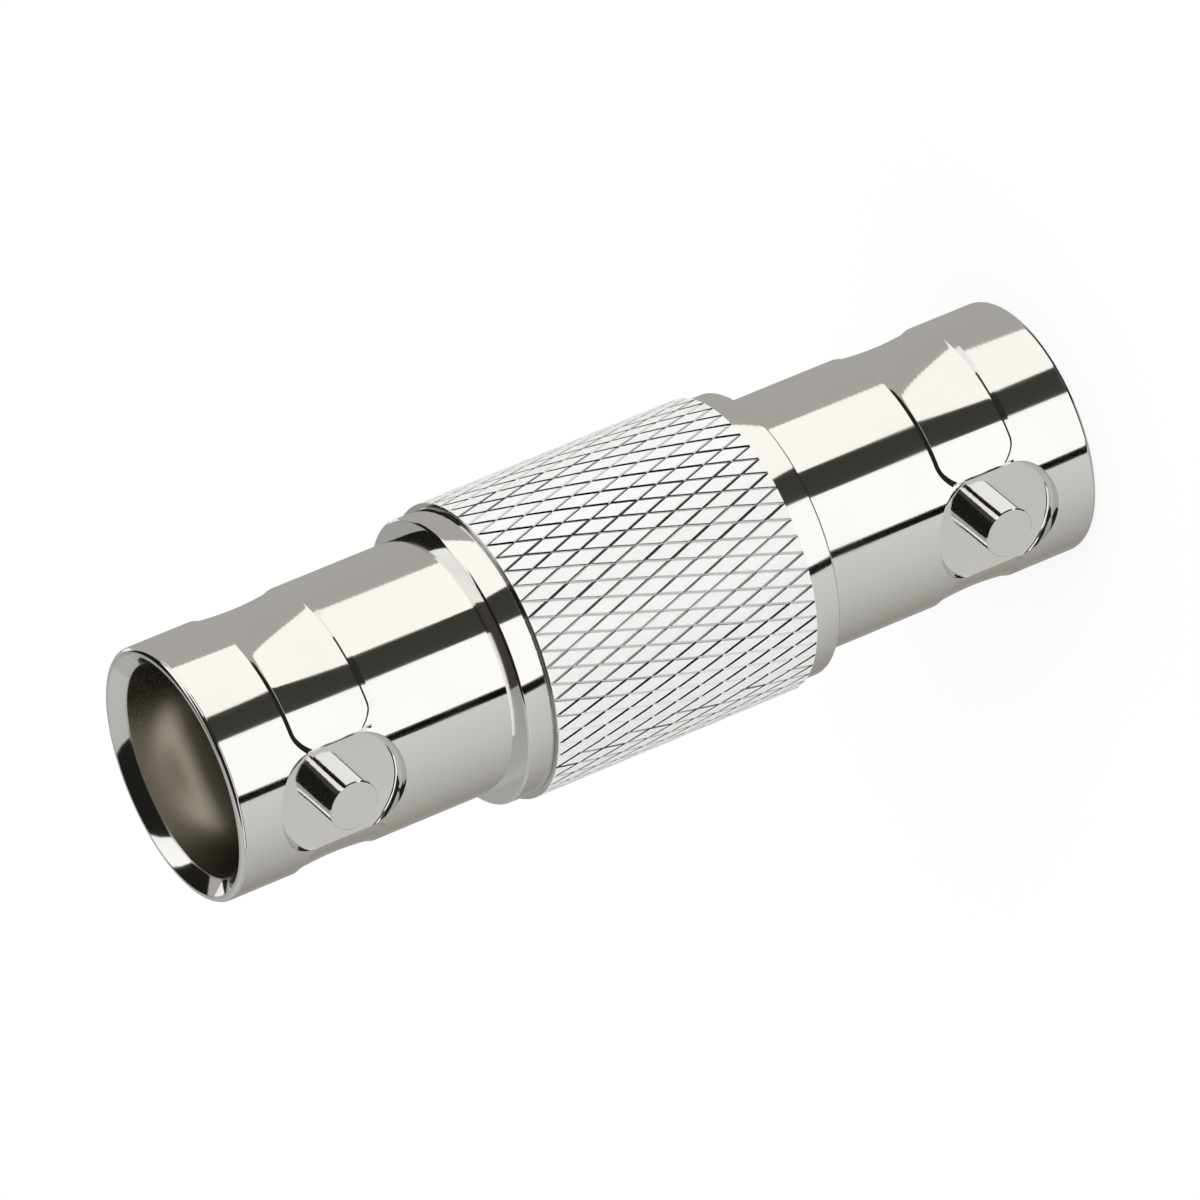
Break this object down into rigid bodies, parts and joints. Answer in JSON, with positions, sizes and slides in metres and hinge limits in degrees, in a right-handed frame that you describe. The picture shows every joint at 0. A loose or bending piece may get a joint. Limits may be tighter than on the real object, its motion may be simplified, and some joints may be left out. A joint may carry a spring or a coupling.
{
  "type": "bnc barrel adapter",
  "caption": "Straight coaxial barrel adapter: a bayonet jack with lugs at each end, a diamond-knurled grip between, and a split-socket contact in plastic insulators, to join plug-ended cables.",
  "frame": {"origin": "centre of the lower mouth, in the plane of its rim, on which the barrel stands", "axes": "+Z along the barrel from the lower jack to the upper jack, X through the bayonet lugs"},
  "size_m": [0.0114, 0.0114, 0.0359],
  "materials": {
    "bright_nickel": "bright nickel plate on polished brass",
    "knurled_nickel": "satin nickel plate on a rolled diamond knurl",
    "insulator": "off-white turned fluoropolymer",
    "contact": "gold flash on turned bronze"
  },
  "bodies": {
    "root": {"upper_jack_shell": "bright_nickel", "lower_jack_shell": "bright_nickel", "knurled_sleeve": "knurled_nickel", "upper_insulator": "insulator", "lower_insulator": "insulator", "centre_contact": "contact"}
  },
  "joints": []
}
